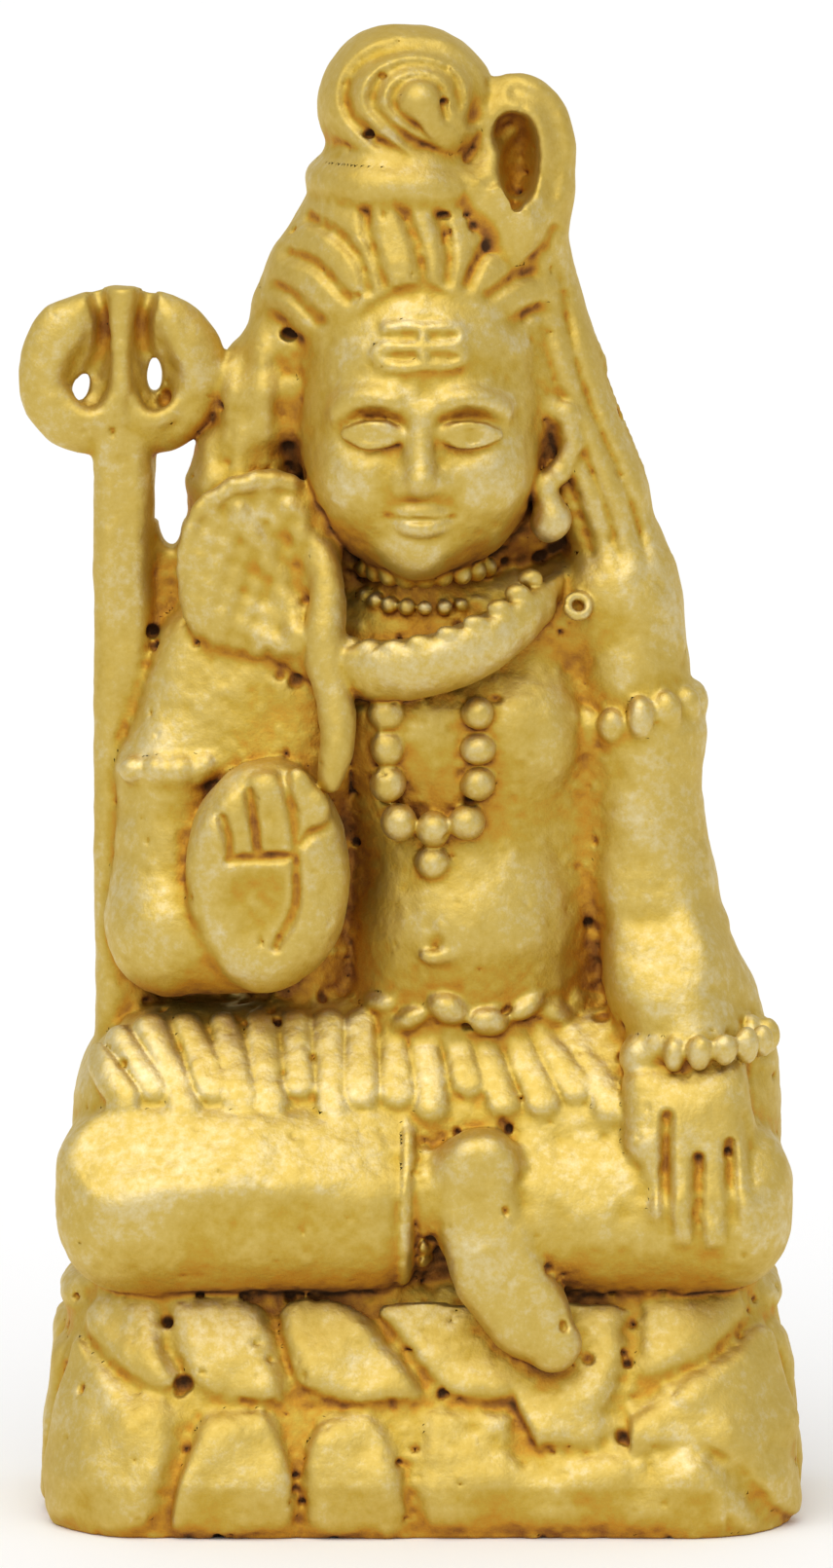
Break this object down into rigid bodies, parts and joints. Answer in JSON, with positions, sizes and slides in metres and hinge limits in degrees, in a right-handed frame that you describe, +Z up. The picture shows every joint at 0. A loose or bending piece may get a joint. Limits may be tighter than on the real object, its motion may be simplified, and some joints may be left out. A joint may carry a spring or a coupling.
{
  "type": "seated deity figurine",
  "caption": "Small cast brass figurine of a cross-legged deity on a rock seat, with a trident and a cobra at one side, one hand raised and one on the knee",
  "frame": {"origin": "on the underside, at the middle of the figurine's width and depth", "axes": "+Z up, the figure faces -Y, +X is to its own left"},
  "size_m": [0.0366, 0.019, 0.07],
  "materials": {
    "rock_brass": "satin cast, patina in the joints",
    "hair_brass": "satin cast, dark between the strands",
    "trim_brass": "rubbed bright on the high places",
    "attribute_brass": "satin cast",
    "web_brass": "rough as cast",
    "figure_brass": "satin, slightly pitted"
  },
  "bodies": {
    "root": {"plinth": "rock_brass", "front_stone_1": "rock_brass", "front_stone_2": "rock_brass", "front_stone_3": "rock_brass", "front_stone_4": "rock_brass", "front_stone_5": "rock_brass", "right_side_stones": "rock_brass", "left_side_stones": "rock_brass", "back_stones": "rock_brass", "seat_slab_1": "rock_brass", "seat_slab_2": "rock_brass", "seat_slab_3": "rock_brass", "seat_slab_4": "rock_brass", "seat_slab_5": "rock_brass", "side_slabs": "rock_brass", "rear_slabs": "rock_brass", "lap": "figure_brass", "right_leg": "figure_brass", "left_leg": "figure_brass", "right_foot": "figure_brass", "anklet": "trim_brass", "skirt_front": "trim_brass", "skirt_back": "trim_brass", "waist_belt": "trim_brass", "torso": "figure_brass", "neck": "figure_brass", "choker": "trim_brass", "collar": "trim_brass", "necklace": "trim_brass", "pendant": "trim_brass", "head": "figure_brass", "forehead_mark": "trim_brass", "hair_cap": "hair_brass", "hair_band": "hair_brass", "hair_bun": "hair_brass", "bun_coil": "hair_brass", "hair_loop": "hair_brass", "left_lock": "hair_brass", "right_lock": "hair_brass", "back_hair": "hair_brass", "left_ear": "figure_brass", "earring": "trim_brass", "right_arm": "figure_brass", "right_armlet": "trim_brass", "right_hand": "figure_brass", "left_arm": "figure_brass", "shoulder_boss": "trim_brass", "left_armlet": "trim_brass", "left_bracelet": "trim_brass", "left_hand": "figure_brass", "cobra_hood": "attribute_brass", "cobra_body": "attribute_brass", "trident_shaft": "attribute_brass", "trident_outer_prongs": "attribute_brass", "trident_centre_prong": "attribute_brass", "trident_socket": "attribute_brass", "trident_web": "web_brass", "shaft_web": "web_brass"}
  },
  "joints": []
}
